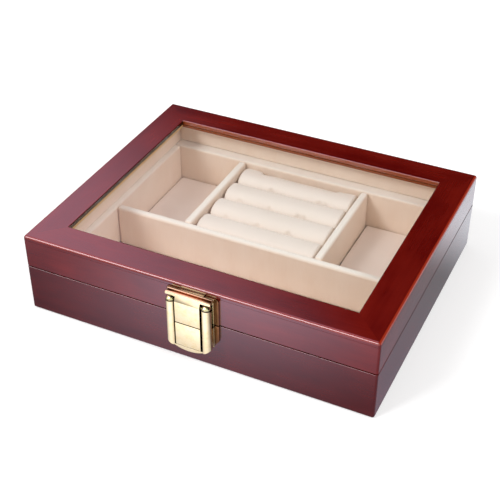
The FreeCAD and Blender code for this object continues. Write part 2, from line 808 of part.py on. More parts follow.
keeper = clasp_body("clasp_keeper")
pad_front(keeper, "block", corners_of(half_layer, clasp_lid_low, flange_top),
          S.flange_thickness, layer_front)
slot_floor = ledge_top - S.ledge_slot_depth
lip_top = axis_height + S.lip_rise
bridge_top = axis_height + S.bridge_rise
top_bar = [(ledge_front, ledge_top), (ledge_back, ledge_top), (ledge_back, slot_floor),
           (lip_front, slot_floor), (lip_front, lip_top), (lip_back, lip_top)]
pad_side(keeper, "panel",
         [(S.flange_thickness, clasp_lid_low), (S.panel_stand_off, clasp_lid_low),
          (S.panel_stand_off, ledge_low - S.panel_shoulder), (ledge_front, ledge_low)] + top_bar
         + [(lip_back, bridge_top), (0, bridge_top), (0, flange_top),
            (S.flange_thickness, flange_top)], S.panel_width)
pad_side(keeper, "bar", [(lip_back, ledge_low), (ledge_front, ledge_low)] + top_bar,
         flap_half_width * 2)
round_edges(keeper, S.panel_round,
            lambda box: lies_at(box, S.panel_stand_off.value, S.panel_stand_off.value)
            and abs(box.ZMin - clasp_lid_low.value) > NEAR)
pin_bore = new_sketch(keeper, "pin_bore", "YZ_Plane")
draw_circle(pin_bore, -pin_stand_off, flap_pin_z, S.flap_pin_radius)
pocket(keeper, pin_bore)
bore_screws(keeper, layer_front, clasp_lid_screw_height, countersunk=True)
subparts.append(keeper)

# The flap: a web behind the lower half of the centre panel, two round ribs with domed tops, and
# a bar across the bottom. All end below in one curve. A channel behind clears the catch's nose.


def draw_below_arc(sketch, low, corners):
    """Straight lines from the arc's right end to its left end, and the arc down to low."""
    half_chord, high = corners[0]
    sagitta = high - low
    radius = (half_chord * half_chord + sagitta * sagitta) / (sagitta * 2)
    middle_z = low + radius
    places = [Vector(x.value, z.value, 0) for x, z in corners]
    for start, end in zip(places, places[1:]):
        sketch.addGeometry(Part.LineSegment(start, end), False)
    arc = Part.Arc(places[-1], Vector(0, low.value, 0), places[0])
    sketch.addGeometry(arc, False)
    arc_index = len(places) - 1
    for index in range(arc_index):
        sketch.addConstraint(Sketcher.Constraint("Coincident", index, 2, index + 1, 1))
    sketch.addConstraint(Sketcher.Constraint("Coincident", arc_index, 2, 0, 1))
    for index, (x, z) in enumerate(corners[:-1]):
        place_point(sketch, index, 1, x, z)
    place_point(sketch, arc_index - 1, 2, *corners[-1])
    rule = Sketcher.Constraint("DistanceY", -1, 1, arc_index, 3, middle_z.value)
    sketch.renameConstraint(sketch.addConstraint(rule), "arc_middle")
    bind(sketch, "Constraints.arc_middle", middle_z)


flap = clasp_body("clasp_flap")
panel_line_z = clasp_lid_low - S.panel_line
flap_low = axis_height - S.flap_drop
flap_corner = axis_height - S.flap_corner_drop
panel_low = axis_height - S.panel_drop
untrimmed_low = flap_low - S.flap_trim
half_web = flap_half_width - S.web_side_inset
half_bar = rib_middle - S.rib_radius + S.flap_bar_inset
pad_front(flap, "web", corners_of(half_web, untrimmed_low, panel_line_z), flap_back,
          flap_back + S.flap_web)
pad_front(flap, "bar", corners_of(half_bar, untrimmed_low, panel_low - S.flap_bar_gap),
          flap_back, S.flap_bar_stand_off)
pad_front(flap, "panel", corners_of(half_panel, panel_low, panel_line_z), flap_back,
          S.panel_stand_off)
for name, side in (("left", -1), ("right", 1)):
    rib = new_sketch(flap, f"{name}_rib", "XZ_Plane", pin_stand_off, rib_middle * side)
    low = Vector(0, untrimmed_low.value, 0)
    high = Vector(0, flap_pin_z.value, 0)
    out = Vector(S.rib_radius.value, 0, 0)
    slant = Vector(math.sqrt(0.5), math.sqrt(0.5), 0) * S.rib_radius.value
    up = Vector(0, S.rib_radius.value, 0)
    rib.addGeometry(Part.LineSegment(low + out, high + out), False)
    rib.addGeometry(Part.Arc(high + out, high + slant, high + up), False)
    rib.addGeometry(Part.LineSegment(high + up, low), False)
    rib.addGeometry(Part.LineSegment(low, low + out), False)
    for index in range(4):
        rib.addConstraint(Sketcher.Constraint("Coincident", index, 2, (index + 1) % 4, 1))
    place_point(rib, 1, 3, 0, flap_pin_z)
    place_point(rib, 0, 1, S.rib_radius, untrimmed_low)
    place_point(rib, 0, 2, S.rib_radius, flap_pin_z)
    place_point(rib, 2, 2, 0, untrimmed_low)
    rib.addConstraint(Sketcher.Constraint("PointOnObject", 2, 1, -2))
    turn = flap.newObject("PartDesign::Revolution", f"clasp_flap_{name}_rib")
    turn.Profile = rib
    turn.ReferenceAxis = (rib, ["V_Axis"])
    turn.Angle = 360
    doc.recompute()
trim = new_sketch(flap, "trim", "XZ_Plane", flap_back)
trim_side = flap_half_width + S.flap_trim
trim_low = untrimmed_low - S.flap_trim
draw_below_arc(trim, flap_low, [(half_web, flap_corner), (trim_side, flap_corner),
                                (trim_side, trim_low), (-trim_side, trim_low),
                                (-trim_side, flap_corner), (-half_web, flap_corner)])
pocket(flap, trim)
pin_bore = new_sketch(flap, "pin_bore", "YZ_Plane")
draw_circle(pin_bore, -pin_stand_off, flap_pin_z, S.flap_pin_radius + S.running_clearance)
pocket(flap, pin_bore)
channel = new_sketch(flap, "channel", "XZ_Plane", flap_back)
draw_rectangle(channel, -S.nose_width / 2 - S.nose_room, S.nose_width / 2 + S.nose_room,
               flap_low - S.nose_room, nose_high + S.nose_room)
pocket(flap, channel, S.nose_reach + S.flap_back_gap, reverse=True)
subparts.append(flap)

pin_reach = flap_half_width - S.flap_pin_inset
pin_y = clasp_front - pin_stand_off
pin = stock_rod("clasp_pin", S.flap_pin_radius,
                (S.clasp_offset - pin_reach, S.clasp_offset + pin_reach), pin_y, flap_pin_z)
finish(pin, "clasp_pin")
clasp_face = clasp_front - layer_front
screw_set("clasp_base_screws",
          [(x, clasp_face, clasp_base_screw_height, 1) for x in clasp_screw_x])
screw_set("clasp_lid_screws",
          [(x, clasp_face, clasp_lid_screw_height, 1) for x in clasp_screw_x])

# Check every object, then write one file for each sub-part.

doc.recompute()
for item in doc.Objects:
    if {"Invalid", "Error"} & set(item.State):
        raise RuntimeError(f"{item.Label} failed: {item.State}")
for item in subparts:
    if item.Shape.isNull() or not item.Shape.isValid() or not item.Shape.Solids:
        raise RuntimeError(f"{item.Label} has no valid solid")
os.makedirs("parts", exist_ok=True)
for item in subparts:
    item.Shape.exportStep(os.path.join("parts", f"{item.Label}.step"))
print(len(subparts), "sub-parts")
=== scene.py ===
"""The visual model of a lacquered wooden jewelry box with a glass-topped lid."""

import math

import bpy
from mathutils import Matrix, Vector, noise


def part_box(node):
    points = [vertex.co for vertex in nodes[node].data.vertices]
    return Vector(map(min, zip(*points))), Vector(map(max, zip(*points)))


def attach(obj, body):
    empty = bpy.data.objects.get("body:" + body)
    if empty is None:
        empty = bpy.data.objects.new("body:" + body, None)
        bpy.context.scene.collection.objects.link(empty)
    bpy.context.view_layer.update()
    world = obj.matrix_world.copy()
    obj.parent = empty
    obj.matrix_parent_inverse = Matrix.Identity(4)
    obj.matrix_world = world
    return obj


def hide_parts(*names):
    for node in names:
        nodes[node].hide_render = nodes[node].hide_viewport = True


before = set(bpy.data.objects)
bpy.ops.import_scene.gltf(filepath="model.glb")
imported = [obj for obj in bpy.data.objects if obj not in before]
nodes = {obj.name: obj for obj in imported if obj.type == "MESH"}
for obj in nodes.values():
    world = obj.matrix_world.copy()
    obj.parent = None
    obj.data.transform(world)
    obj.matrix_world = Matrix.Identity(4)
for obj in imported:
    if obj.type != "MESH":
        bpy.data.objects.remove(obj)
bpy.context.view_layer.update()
bpy.ops.object.select_all(action="DESELECT")


# The box stands on a plain pale table top. The studio is bright in front and along the horizon
# and dark behind, and two lamps light the box. Glows in the studio stand for light boxes: they
# are seen in the gloss and light nothing. In the gloss the table top is a painted reflection,
# with painted shade near the box. The camera is at the front right.

def new_node(tree, kind, inputs=None, **settings):
    """A shader node with its settings made and its inputs set or linked."""
    node = tree.nodes.new(kind)
    for name, value in settings.items():
        setattr(node, name, value)
    for name, value in (inputs or {}).items():
        if isinstance(value, bpy.types.NodeSocket):
            tree.links.new(value, node.inputs[name])
        else:
            node.inputs[name].default_value = value
    return node


def maths(tree, operation, *values, **settings):
    """What the operation makes of one or two numbers."""
    node = new_node(tree, "ShaderNodeMath", dict(enumerate(values)), operation=operation,
                    **settings)
    return node.outputs[0]


def seen_by(tree, *kinds):
    """1 for the named kinds of ray."""
    path = new_node(tree, "ShaderNodeLightPath")
    seen = path.outputs[kinds[0]]
    for kind in kinds[1:]:
        seen = maths(tree, "MAXIMUM", seen, path.outputs[kind])
    return seen


bpy.ops.mesh.primitive_plane_add(size=24, location=(0, 0, 0))
table_top = bpy.context.object
table_top.name = "table_top"
pale = bpy.data.materials.new("pale_table_top")
pale.use_nodes = True
tree = pale.node_tree
tree.nodes.clear()
matt = new_node(tree, "ShaderNodeBsdfDiffuse", {"Color": (0.8, 0.8, 0.8, 1), "Roughness": 0.5})
whitening = 0.42
lift = maths(tree, "MULTIPLY", seen_by(tree, "Is Camera Ray", "Is Transmission Ray"), whitening)
glow = new_node(tree, "ShaderNodeEmission", {"Color": (1, 1, 1, 1), "Strength": lift})
as_seen = new_node(tree, "ShaderNodeAddShader", {0: matt.outputs[0], 1: glow.outputs[0]})


def coordinates(tree):
    return new_node(tree, "ShaderNodeTexCoord").outputs["Object"]


def split(tree, vector):
    """The X, Y and Z of a vector, by name."""
    return new_node(tree, "ShaderNodeSeparateXYZ", {0: vector}).outputs


def spread(tree, value, low, high, to_low=0.0, to_high=1.0, curve="LINEAR"):
    """A value between low and high, spread over the range between two other numbers."""
    ranged = new_node(tree, "ShaderNodeMapRange",
                      {"Value": value, "From Min": low, "From Max": high,
                       "To Min": to_low, "To Max": to_high}, interpolation_type=curve)
    return ranged.outputs[0]


def blend_colours(tree, factor, first, second):
    mix = new_node(tree, "ShaderNodeMix", {0: factor, 6: first, 7: second}, data_type="RGBA")
    return mix.outputs[2]


# Painted reflection: in the gloss the table top glows in pools in front of and behind the box,
# and is dimmer near it as painted shade. This glow lights nothing.
spot = split(tree, coordinates(tree))
pool_middle, pool_reach = -0.005, 0.155
from_middle = maths(tree, "ABSOLUTE", maths(tree, "SUBTRACT", spot["X"], pool_middle))
painted_front_pool = maths(tree, "MULTIPLY",
                   spread(tree, from_middle, 0.0, pool_reach, 2.1, 0.5, "SMOOTHSTEP"),
                   spread(tree, spot["Y"], -0.165, -0.1, 1.0, 0.3))
painted_rear_pool = spread(tree, spot["Y"], 0.05, 0.14, 0.28, 1.1, "SMOOTHSTEP")
front_tint, rear_tint = (1.0, 0.86, 1.06, 1), (0.9, 0.93, 1.0, 1)
tint = blend_colours(tree, spread(tree, spot["Y"], -0.09, 0.05), front_tint, rear_tint)
painted_reflection = new_node(tree, "ShaderNodeEmission",
                    {"Color": tint, "Strength": maths(tree, "MAXIMUM", painted_front_pool, painted_rear_pool)})
mirrored = maths(tree, "SUBTRACT", seen_by(tree, "Is Glossy Ray"),
                 seen_by(tree, "Is Transmission Ray"), use_clamp=True)
either = new_node(tree, "ShaderNodeMixShader", {0: mirrored, 1: as_seen.outputs[0],
                                                2: painted_reflection.outputs[0]})
new_node(tree, "ShaderNodeOutputMaterial", {"Surface": either.outputs[0]})
table_top.data.materials.append(pale)


def blend_values(tree, factor, first, second):
    return new_node(tree, "ShaderNodeMix", {0: factor, 2: first, 3: second}).outputs[0]


world = bpy.data.worlds.new("soft_studio")
bpy.context.scene.world = world
world.use_nodes = True
tree = world.node_tree
tree.nodes.clear()
direction = new_node(tree, "ShaderNodeTexCoord").outputs["Generated"]
toward = split(tree, direction)
near_horizon = spread(tree, toward["Z"], 0.02, 0.18, 1.0, 0.0, "SMOOTHSTEP")
in_front = spread(tree, toward["Y"], -0.55, -0.1, 1.0, 0.0, "SMOOTHSTEP")
shown = seen_by(tree, "Is Camera Ray", "Is Glossy Ray", "Is Transmission Ray")
soft_light = 0.55
level = blend_values(tree, shown, soft_light, maths(tree, "MAXIMUM", near_horizon, in_front))
studio = new_node(tree, "ShaderNodeBackground", {"Color": (1, 1, 1, 1), "Strength": level})
rear_left_box = ((-0.62, 0.25, 0.74), 0.80, 0.91, 1.7, (1.0, 0.62, 0.80, 1))
front_left_box = ((-0.385, -0.615, 0.677), 0.945, 0.98, 8.5, (1.0, 0.86, 0.92, 1))
for centre, edge, core, strength, colour in (rear_left_box, front_left_box):
    nearness = new_node(tree, "ShaderNodeVectorMath",
                        {0: direction, 1: Vector(centre).normalized()}, operation="DOT_PRODUCT")
    shine = spread(tree, nearness.outputs["Value"], edge, core, 0.0, strength, "SMOOTHSTEP")
    light_box = new_node(tree, "ShaderNodeBackground",
                         {"Color": colour, "Strength": maths(tree, "MULTIPLY", shine, shown)})
    studio = new_node(tree, "ShaderNodeAddShader", {0: studio.outputs[0],
                                                    1: light_box.outputs[0]})
new_node(tree, "ShaderNodeOutputWorld", {"Surface": studio.outputs[0]})

box_middle = Vector((0, 0, 0.03))
for name, place, width, power in (("front_left_key", (-0.73, -1.17, 1.29), 0.6, 15.5),
                                  ("right_fill", (1.2, -0.3, 1.3), 1.0, 8)):
    bpy.ops.object.light_add(type="AREA", location=place)
    lamp = bpy.context.object
    lamp.name = name
    lamp.data.shape = "SQUARE"
    lamp.data.size = width
    lamp.data.energy = power
    lamp.rotation_euler = (box_middle - Vector(place)).to_track_quat("-Z", "Y").to_euler()
    lamp.visible_glossy = False

bpy.ops.object.camera_add(location=(0.2530, -0.5431, 0.4620))
camera = bpy.context.object
camera.data.lens = 75.35
camera.data.sensor_width = 36
camera.data.clip_start = 0.01
camera_target = Vector((-0.00405, -0.00694, 0.025))
aim = camera_target - camera.location
camera.rotation_euler = aim.to_track_quat("-Z", "Y").to_euler()
bpy.context.scene.camera = camera
bpy.context.scene.view_settings.view_transform = "Standard"


# The wood of the case and the lid is stained dark cherry red under a clear glossy lacquer. The
# grain runs along each board. The corners and arrises are softly rounded under the lacquer.

def new_group(name, inputs, outputs):
    """An empty node group with its sockets, and its input and output nodes."""
    group = bpy.data.node_groups.new(name, "ShaderNodeTree")
    for label, kind, value in inputs:
        socket = group.interface.new_socket(label, in_out="INPUT", socket_type=kind)
        if value is not None:
            socket.default_value = value
    for label, kind in outputs:
        group.interface.new_socket(label, in_out="OUTPUT", socket_type=kind)
    return group, group.nodes.new("NodeGroupInput"), group.nodes.new("NodeGroupOutput")


def clouds(tree, vector, scale, detail=3.0, roughness=0.5):
    cloud = new_node(tree, "ShaderNodeTexNoise",
                     {"Vector": vector, "Scale": scale, "Detail": detail,
                      "Roughness": roughness})
    return cloud.outputs["Fac"]


def streaks(tree, vector, scales, detail=3.0, roughness=0.5):
    """Clouds with a scale of their own along each axis."""
    stretch = new_node(tree, "ShaderNodeVectorMath", {0: vector, 1: scales},
                       operation="MULTIPLY")
    return clouds(tree, stretch.outputs[0], 1.0, detail, roughness)


wood_grain, given, made = new_group(
    "wood_grain",
    [("Vector", "NodeSocketVector", None), ("Dark", "NodeSocketColor", (0.05, 0, 0, 1)),
     ("Light", "NodeSocketColor", (0.2, 0, 0, 1)), ("Figure", "NodeSocketFloat", 0.5),
     ("Pores", "NodeSocketFloat", 0.5)],
    [("Color", "NodeSocketColor"), ("Height", "NodeSocketFloat"),
     ("Roughness", "NodeSocketFloat")])
along = given.outputs["Vector"]
waver = streaks(wood_grain, along, (24, 44, 44))
figure = streaks(wood_grain, along, (9, 110, 110), 4.0, 0.6)
fibre = streaks(wood_grain, along, (60, 1500, 1500), 2.0)
pore = streaks(wood_grain, along, (110, 2600, 2600), 1.0)
tone = spread(wood_grain, blend_values(wood_grain, 0.4, waver, figure), 0.32, 0.68)
tone = maths(wood_grain, "MULTIPLY", tone, given.outputs["Figure"])
tone = maths(wood_grain, "ADD", tone, spread(wood_grain, fibre, 0.3, 0.7, -0.1, 0.1),
             use_clamp=True)
stained = blend_colours(wood_grain, tone, given.outputs["Dark"], given.outputs["Light"])
pitted = maths(wood_grain, "MULTIPLY", spread(wood_grain, pore, 0.62, 0.74),
               given.outputs["Pores"])
in_pores = blend_colours(wood_grain, 0.7, stained, (0, 0, 0, 1))
wood_grain.links.new(blend_colours(wood_grain, pitted, stained, in_pores), made.inputs["Color"])
wood_grain.links.new(maths(wood_grain, "SUBTRACT", fibre, pitted), made.inputs["Height"])
wood_grain.links.new(spread(wood_grain, figure, 0.3, 0.7, 0.16, 0.26),
                     made.inputs["Roughness"])


def principled(name, **sockets):
    """A material with one principled shader, and its tree. Fixed numbers go on its sockets."""
    material = bpy.data.materials.new(name)
    material.use_nodes = True
    tree = material.node_tree
    tree.nodes.clear()
    shader = new_node(tree, "ShaderNodeBsdfPrincipled",
                      {label.replace("_", " "): value for label, value in sockets.items()})
    new_node(tree, "ShaderNodeOutputMaterial", {"Surface": shader.outputs[0]})
    return material, tree, shader


def in_group(tree, group, vector, **values):
    """A node group placed in a tree, with its vector linked and its own values."""
    return new_node(tree, "ShaderNodeGroup", {"Vector": vector, **values}, node_tree=group)


def raise_surface(tree, shader, height, strength, distance):
    bump = new_node(tree, "ShaderNodeBump", {"Height": height, "Strength": strength,
                                             "Distance": distance})
    tree.links.new(bump.outputs[0], shader.inputs["Normal"])


def wood(name, quarter_turn, dark, light, figure, pores, depth, **sockets):
    """A board's finish, with the grain along X, or along Y after a quarter turn."""
    material, tree, shader = principled(name, **sockets)
    turn = new_node(tree, "ShaderNodeMapping", {"Vector": coordinates(tree)})
    turn.inputs["Rotation"].default_value = (0, 0, math.pi / 2 * quarter_turn)
    grain = in_group(tree, wood_grain, turn.outputs[0], Dark=dark, Light=light, Figure=figure,
                     Pores=pores)
    tree.links.new(grain.outputs["Color"], shader.inputs["Base Color"])
    tree.links.new(grain.outputs["Roughness"], shader.inputs["Roughness"])
    raise_surface(tree, shader, grain.outputs["Height"], depth, 0.0001)
    return material


def overpaint(material, mask, colour):
    """Lays a colour over a material's own where the mask is 1."""
    tree = material.node_tree
    shader = next(node for node in tree.nodes if node.type == "BSDF_PRINCIPLED")
    below = shader.inputs["Base Color"].links[0].from_socket
    tree.links.new(blend_colours(tree, mask, below, colour), shader.inputs["Base Color"])


def lacquered(name, quarter_turn, brightness):
    """Lacquered wood, its colour scaled by the given brightness. A painted highlight runs along
    the top's arris. The window's inner edges are painted near black on the left and right as
    painted shade, and orange-brown on the front and rear as painted light."""
    dark = (0.11 * brightness, 0.0015 * brightness, 0.0012 * brightness, 1)
    light = (0.22 * brightness, 0.009 * brightness, 0.004 * brightness, 1)
    material = wood(name, quarter_turn, dark, light, 1.0, 0.15, 0.02, Specular_IOR_Level=0.1,
                    Specular_Tint=(1.0, 0.35, 0.5, 1), Coat_Weight=1.0, Coat_Roughness=0.06,
                    Coat_IOR=1.68)
    tree = material.node_tree
    sides = new_node(tree, "ShaderNodeVectorMath", {0: coordinates(tree)}, operation="ABSOLUTE")
    sides = split(tree, sides.outputs[0])
    top, arris = 0.061, 0.0018
    arris_highlight, in_window = [], []
    for axis, half_case, half_window, highlight_strength in (("X", 0.125, 0.1032, 0.7),
                                               ("Y", 0.1015, 0.0797, 0.3)):
        outward = maths(tree, "ADD", sides[axis], sides["Z"])
        reach = half_case + top - arris
        arris_highlight.append(spread(tree, outward, reach, reach + 0.0004, 0.0, highlight_strength))
        in_window.append(spread(tree, sides[axis], half_window + 0.0002, half_window + 0.0001))
    # Painted highlight: an orange-red band along the top's arris, strongest on the left and
    # right.
    overpaint(material, maths(tree, "MAXIMUM", *arris_highlight), (0.50, 0.045, 0.015, 1))
    # Painted shade and light: the window's inner edges are near black on the left and right, and
    # orange-brown on the front and rear.
    painted_window_edge = (0.010, 0.001, 0.001, 1) if quarter_turn else (0.27, 0.045, 0.006, 1)
    overpaint(material, maths(tree, "MULTIPLY", *in_window), painted_window_edge)
    return material


def dress(node, material):
    """Gives a carried-over node its material."""
    mesh = nodes[node].data
    mesh.materials.clear()
    mesh.materials.append(material)


# The case's boards get a lower brightness than the lid's: painted shade on the lower part of the
# box.
for name, board, brightness in (("case", "base_{}_board", 0.55), ("rail", "lid_{}_rail", 0.85),
                           ("top", "top_frame_{}", 0.82)):
    for sides, quarter_turn in ((("front", "rear"), 0), (("left", "right"), 1)):
        finish = lacquered(f"cherry_lacquer_{name}_{sides[0]}", quarter_turn, brightness)
        for side in sides:
            dress(board.format(side), finish)


# Under the case lies a thin bottom board, with a sheet of dark felt glued below it. The board
# is bare wood with open pores, and the felt's fibres lie in all directions.

dress("base_bottom_panel",
      wood("bottom_board_wood", 0, (0.33, 0.22, 0.13, 1), (0.5, 0.36, 0.22, 1), 0.9, 0.5, 0.2))

felt, tree, shader = principled("dark_felt", Sheen_Weight=0.4, Sheen_Roughness=0.6,
                                Roughness=0.95, Specular_IOR_Level=0.1)
fibres = clouds(tree, coordinates(tree), 1400, 4.0, 0.7)
tree.links.new(blend_colours(tree, fibres, (0.012, 0.008, 0.008, 1), (0.07, 0.045, 0.045, 1)),
               shader.inputs["Base Color"])
raise_surface(tree, shader, fibres, 0.6, 0.0003)
dress("base_felt_sheet", felt)


# The linings, the dividers and the floor pads are boards of card wrapped in pale velvet. The
# velvet is drawn round their edges, so that these are soft and catch the light. The up-facing
# velvet of the case's linings and of the dividers is painted paler, as painted light.

velvet_nap, given, made = new_group(
    "velvet_nap",
    [("Vector", "NodeSocketVector", None), ("Pile", "NodeSocketColor", (0.8, 0.7, 0.6, 1)),
     ("Shade", "NodeSocketColor", (0.6, 0.5, 0.4, 1)), ("Brushed", "NodeSocketFloat", 0.5)],
    [("Color", "NodeSocketColor"), ("Height", "NodeSocketFloat")])
across = given.outputs["Vector"]
brushed = streaks(velvet_nap, across, (55, 55, 22), 3.0, 0.55)
combed = streaks(velvet_nap, across, (950, 950, 70), 3.0, 0.6)
pile = clouds(velvet_nap, across, 2600, 2.0, 0.6)
tone = blend_values(velvet_nap, 0.45, spread(velvet_nap, brushed, 0.3, 0.7),
                    spread(velvet_nap, combed, 0.25, 0.75))
tone = blend_values(velvet_nap, 0.3, tone, pile)
tone = maths(velvet_nap, "MULTIPLY", tone, given.outputs["Brushed"])
velvet_nap.links.new(blend_colours(velvet_nap, tone, given.outputs["Pile"],
                                   given.outputs["Shade"]), made.inputs["Color"])
velvet_nap.links.new(blend_values(velvet_nap, 0.5, combed, pile), made.inputs["Height"])


def velvet(name, colour, shade, brushed, depth):
    """Velvet of a colour and its shade. Where a piece's painted_top_light attribute is set, it
    is painted paler, as painted light.
    """
    material, tree, shader = principled(name, Roughness=0.9, Specular_IOR_Level=0.15,
                                        Sheen_Weight=0.5, Sheen_Roughness=0.45,
                                        Sheen_Tint=(1.0, 0.93, 0.86, 1))
    nap = in_group(tree, velvet_nap, coordinates(tree), Pile=colour, Shade=shade,
                   Brushed=brushed)
    top_light = new_node(tree, "ShaderNodeAttribute", attribute_name="painted_top_light").outputs["Fac"]
    # Painted light: a pale colour is laid over the nap where painted_top_light is set.
    tree.links.new(blend_colours(tree, top_light, nap.outputs["Color"], (0.96, 0.91, 0.84, 1)),
                   shader.inputs["Base Color"])
    raise_surface(tree, shader, nap.outputs["Height"], depth, 0.0003)
    return material


lining_velvet = velvet("lining_velvet", (0.92, 0.79, 0.68, 1), (0.80, 0.61, 0.47, 1), 0.8, 0.6)
# The lining and pad velvets are one cloth: the pads' is paler and pinker, as painted light on the
# up-facing floors.
lit_pad_velvet = velvet("lit_pad_velvet", (0.96, 0.85, 0.78, 1), (0.84, 0.70, 0.62, 1), 0.8, 0.6)


def pick(piece):
    bpy.ops.object.select_all(action="DESELECT")
    bpy.context.view_layer.objects.active = piece
    piece.select_set(True)


def in_edit_mode(piece):
    pick(piece)
    bpy.ops.object.mode_set(mode="EDIT")


def apply_modifiers(piece):
    pick(piece)
    for modifier in list(piece.modifiers):
        bpy.ops.object.modifier_apply(modifier=modifier.name)


def wrapped_board(node, body, edge_round, thread, below=0.0, above=0.0, cover=lining_velvet):
    """A velvet-wrapped board in the place of its node, its edges rounded and its cover a
    little uneven. The thread sets how finely it is modelled. The pile stands out below or
    above the board where the lid meets the case. Where it stands out above, its up-facing
    velvet is painted paler, as painted light."""
    low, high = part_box(node)
    low.z -= below
    high.z += above
    bpy.ops.mesh.primitive_cube_add(size=1, location=(low + high) / 2, scale=high - low)
    board = bpy.context.object
    board.name = f"velvet_{node}"
    bpy.ops.object.transform_apply(location=True, rotation=True, scale=True)
    in_edit_mode(board)
    bpy.ops.mesh.select_all(action="SELECT")
    bpy.ops.mesh.bevel(offset=edge_round, segments=6, affect="EDGES")
    bpy.ops.object.mode_set(mode="OBJECT")
    skin = board.modifiers.new("skin", "REMESH")
    skin.mode = "VOXEL"
    skin.voxel_size = thread
    skin.use_smooth_shade = True
    apply_modifiers(board)
    outward = [vertex.normal.copy() for vertex in board.data.vertices]
    top_light = board.data.attributes.new("painted_top_light", "FLOAT", "POINT")
    slack = 0.00012
    for vertex, normal in zip(board.data.vertices, outward):
        dent = noise.noise(vertex.co * 45) + 0.5 * noise.noise(vertex.co * 160)
        vertex.co -= normal * slack * (1 + dent)
        # Painted light: up-facing velvet is made paler on boards whose pile stands out above.
        if above:
            top_light.data[vertex.index].value = 0.8 * max(0.0, normal.z) ** 1.5
    board.data.materials.append(cover)
    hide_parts(node)
    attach(board, body)
    return board


for side in ("front", "rear", "left", "right"):
    wrapped_board(f"base_lining_{side}", "base", 0.0013, 0.0009, above=0.0004)
    wrapped_board(f"lid_lining_{side}", "lid", 0.0005, 0.0008, below=0.0007)
for divider in ("long_divider", "cross_divider_left", "cross_divider_right"):
    wrapped_board(divider, "base", 0.0018, 0.0008, above=0.0003)
for pad in ("floor_pad_front", "floor_pad_left", "floor_pad_right", "ring_roll_tray"):
    cushion = wrapped_board(pad, "base", 0.0015, 0.0015, cover=lit_pad_velvet)


# The ring rolls are stuffed velvet tubes that lie side by side, so that rings are held in the
# grooves between them. Stitches draw them in along the grooves, and their ends are rounded.

roll_velvet = velvet("roll_velvet", (0.90, 0.81, 0.735, 1), (0.80, 0.70, 0.61, 1), 0.5, 0.4)


def select_parts(piece, kind, wanted):
    """Leaves a piece in edit mode with its edges or vertices that meet the test selected."""
    in_edit_mode(piece)
    bpy.ops.mesh.select_mode(type=kind)
    bpy.ops.mesh.select_all(action="DESELECT")
    bpy.ops.object.mode_set(mode="OBJECT")
    for part in piece.data.edges if kind == "EDGE" else piece.data.vertices:
        part.select = wanted(part)
    in_edit_mode(piece)


def open_tube(node, middle, half):
    """A finely divided tube of radius 1, open at its ends, along the whole of a roll."""
    bpy.ops.mesh.primitive_cylinder_add(vertices=72, radius=1, depth=2 * half.x,
                                        end_fill_type="NOTHING", location=middle,
                                        rotation=(0, math.pi / 2, 0))
    tube = bpy.context.object
    tube.name = f"stuffed_{node}"
    bpy.ops.object.transform_apply(location=True, rotation=True, scale=True)

    def runs_along(edge):
        ends = [tube.data.vertices[index].co.x for index in edge.vertices]
        return abs(ends[0] - ends[1]) > half.x

    select_parts(tube, "EDGE", runs_along)
    bpy.ops.mesh.subdivide(number_cuts=150)
    bpy.ops.object.mode_set(mode="OBJECT")
    return tube


def close_ends(tube, middle, half):
    for end in (-1, 1):
        rim = middle.x + end * half.x
        select_parts(tube, "VERT", lambda vertex: abs(vertex.co.x - rim) < 1e-5)
        bpy.ops.mesh.merge(type="CENTER")
        bpy.ops.object.mode_set(mode="OBJECT")
    in_edit_mode(tube)
    bpy.ops.mesh.select_all(action="SELECT")
    bpy.ops.mesh.normals_make_consistent(inside=False)
    bpy.ops.object.mode_set(mode="OBJECT")
    bpy.ops.object.shade_smooth()


def ring_roll(node, stitches, back_drawn_in=0.0):
    """A roll in its node's place. Each stitch has its place along the roll, its side, -1 for the
    front and 1 for the rear, and how far it draws the velvet in."""
    low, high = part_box(node)
    middle, half = (low + high) / 2, (high - low) / 2
    roll = open_tube(node, middle, half)
    squareness, end_squareness = 2.5, 3.4
    left_dome, right_dome = 0.004, 0.002
    drawn_length, stitch_height = 0.0325, 0.45
    for vertex in roll.data.vertices:
        along = vertex.co.x - middle.x
        out = Vector((0, vertex.co.y - middle.y, vertex.co.z - middle.z)).normalized()
        fullness = (abs(out.y) ** squareness + abs(out.z) ** squareness) ** (-1 / squareness)
        dome = left_dome if along < 0 else right_dome
        reach = max(0.0, abs(along) - (half.x - dome)) / dome
        swell = math.sqrt(max(0.0, 1 - reach ** end_squareness))
        draw = 0.0002 + 0.0003 * noise.noise(Vector((along * 60, out.y * 1.2, out.z * 1.2)))
        for place, side, depth in stitches:
            beside, above = along - place, math.atan2(out.z, out.y * side) - stitch_height
            draw += depth * math.exp(-(beside / 0.0016) ** 2 - (above / 0.22) ** 2)
            draw += 0.4 * depth * math.exp(-(beside / 0.006) ** 2 - (above / 0.6) ** 2)
        between = min(1.0, max(0.0, (drawn_length - abs(along)) / 0.003))
        draw += back_drawn_in * between * max(0.0, out.y) ** 0.7
        vertex.co.y = middle.y + out.y * fullness * (half.y - draw) * swell
        vertex.co.z = middle.z + out.z * fullness * (half.z - 0.7 * draw) * swell
    close_ends(roll, middle, half)
    roll.data.materials.append(roll_velvet)
    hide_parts(node)
    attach(roll, "base")


